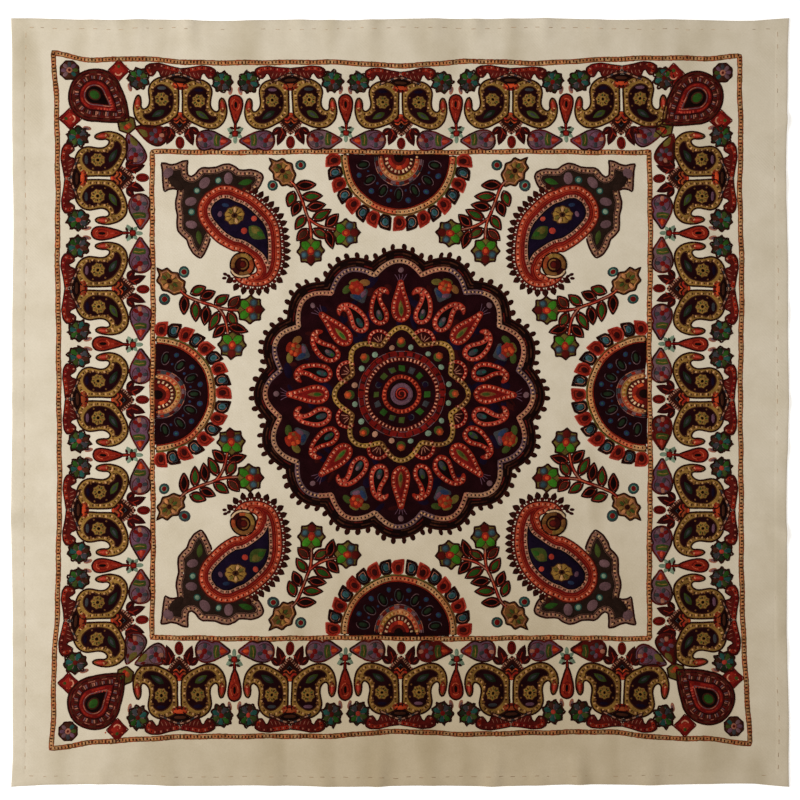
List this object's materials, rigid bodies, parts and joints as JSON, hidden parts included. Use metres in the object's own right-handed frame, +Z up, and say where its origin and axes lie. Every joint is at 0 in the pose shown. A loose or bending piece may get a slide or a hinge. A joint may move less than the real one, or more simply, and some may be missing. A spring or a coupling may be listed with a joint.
{
  "type": "embroidered tablecloth",
  "caption": "Square cream wool tablecloth lying flat, embroidered with a round medallion, corner paisleys and a paisley border.",
  "frame": {"origin": "centre of the cloth's underside, on the surface it lies on", "axes": "+X to the right along the wider side, +Y toward the top edge in the picture, +Z up through the cloth"},
  "size_m": [1, 0.988, 0.008],
  "materials": {
    "embroidered_wool": "matte twill wool cloth with wool yarn embroidery"
  },
  "bodies": {
    "root": {"tablecloth": "embroidered_wool"}
  },
  "joints": []
}
